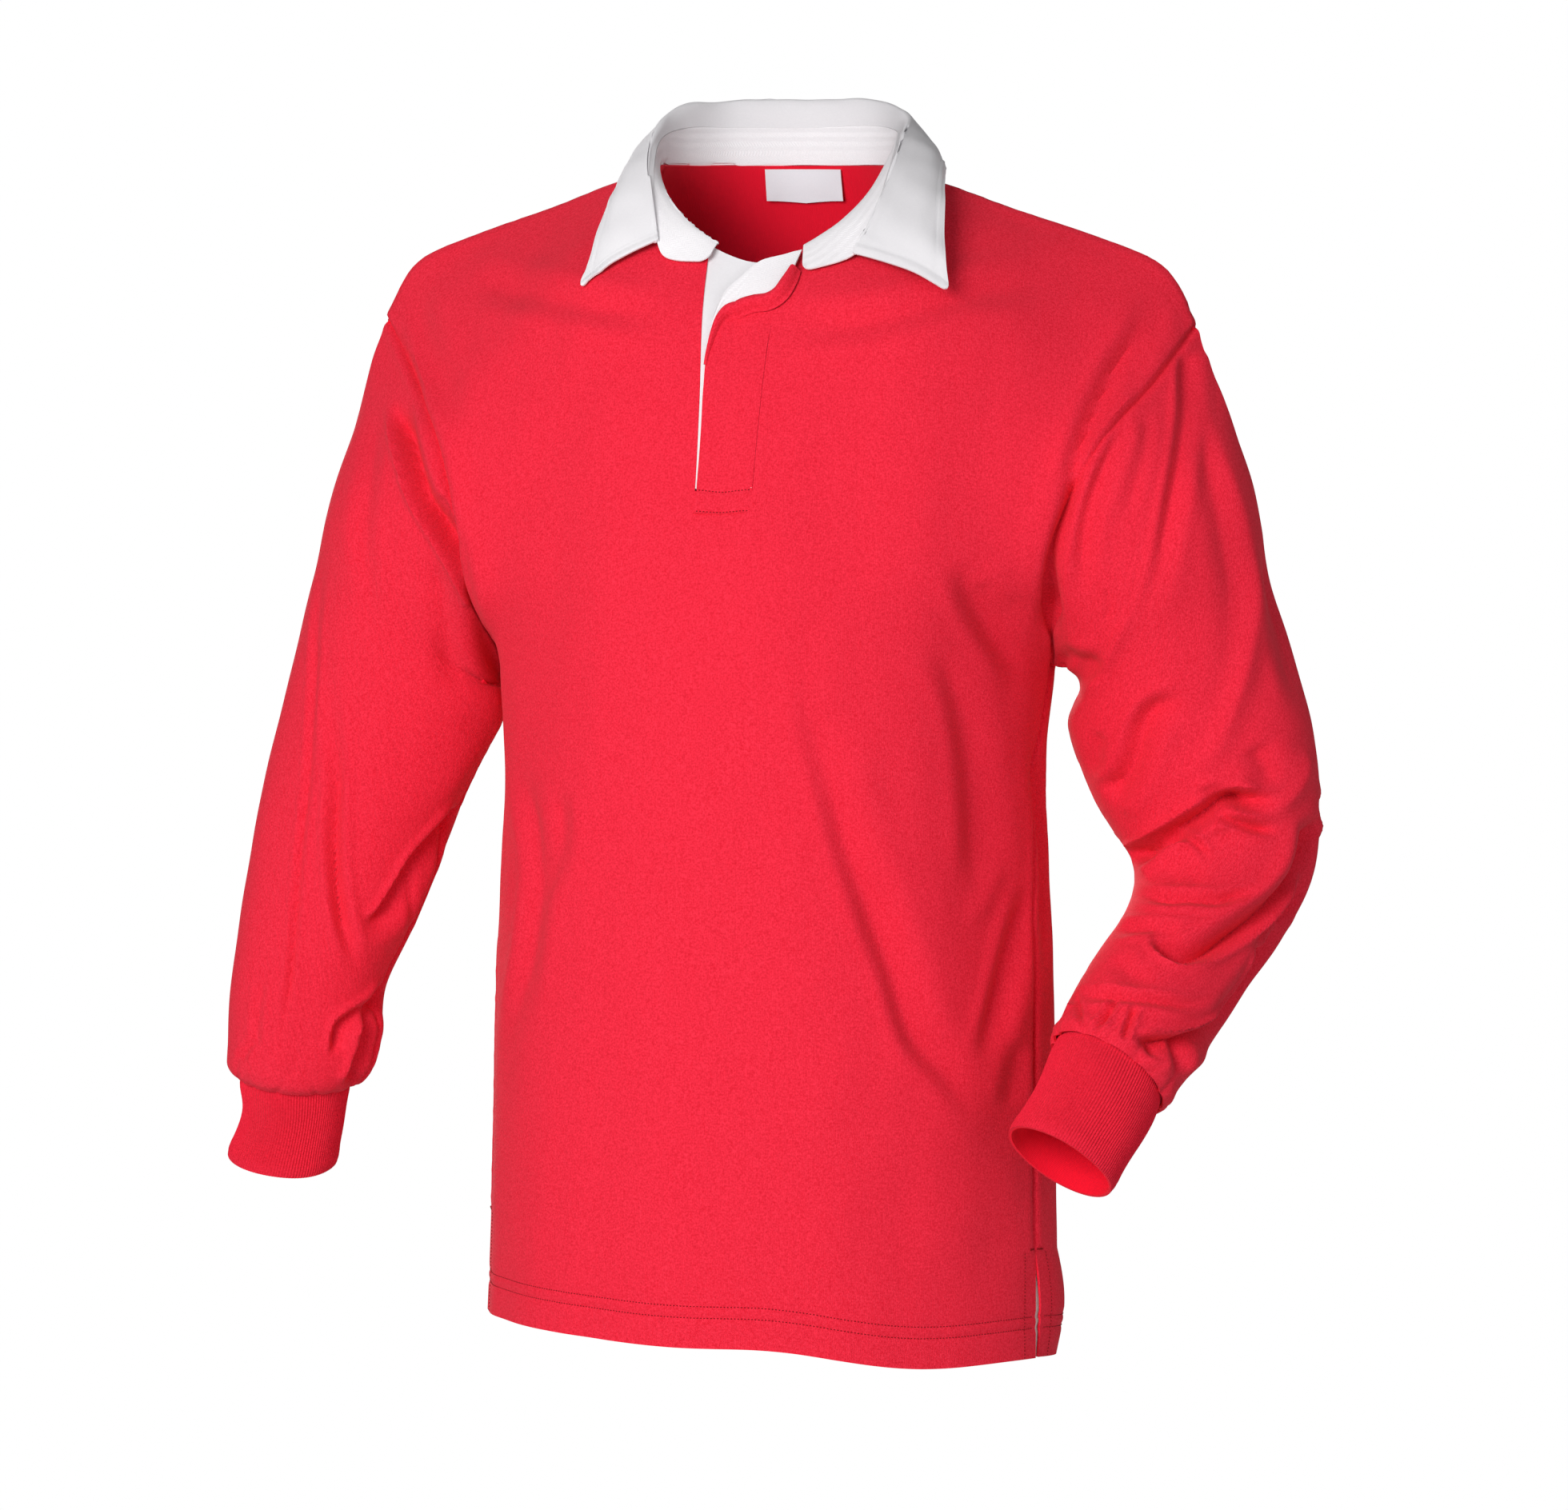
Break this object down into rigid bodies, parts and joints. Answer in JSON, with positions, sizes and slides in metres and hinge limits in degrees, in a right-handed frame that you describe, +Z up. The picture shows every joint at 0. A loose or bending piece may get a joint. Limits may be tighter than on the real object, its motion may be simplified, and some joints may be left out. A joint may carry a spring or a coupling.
{
  "type": "rugby shirt",
  "caption": "Long-sleeved red rugby shirt, filled out as worn, with a white fold-over collar, a half-open neck placket, ribbed cuffs and side vents.",
  "frame": {"origin": "middle of the base of the wearer's neck, level with the tops of the shoulder seams, where the shirt hangs on the wearer", "axes": "+Z up along the wearer's body, the wearer faces -Y, and +X is towards the wearer's left"},
  "size_m": [0.7073, 0.2482, 0.7914],
  "materials": {
    "red jersey": "matt heavy cotton jersey",
    "red rib": "matt ribbed cotton knit",
    "white twill": "matt brushed cotton twill",
    "white tape": "matt herringbone cotton tape",
    "white label": "soft satin woven label, blank"
  },
  "bodies": {
    "root": {"front_panel": "red jersey", "back_panel": "red jersey", "sleeve_left": "red jersey", "sleeve_right": "red jersey", "cuff_left": "red rib", "cuff_right": "red rib", "collar_band": "white tape", "collar_leaf": "white twill", "placket_fly": "red jersey", "placket_under": "white twill", "placket_facing": "red jersey", "placket_tape": "white tape", "neck_label": "white label", "vent_tape_left": "white tape"}
  },
  "joints": []
}
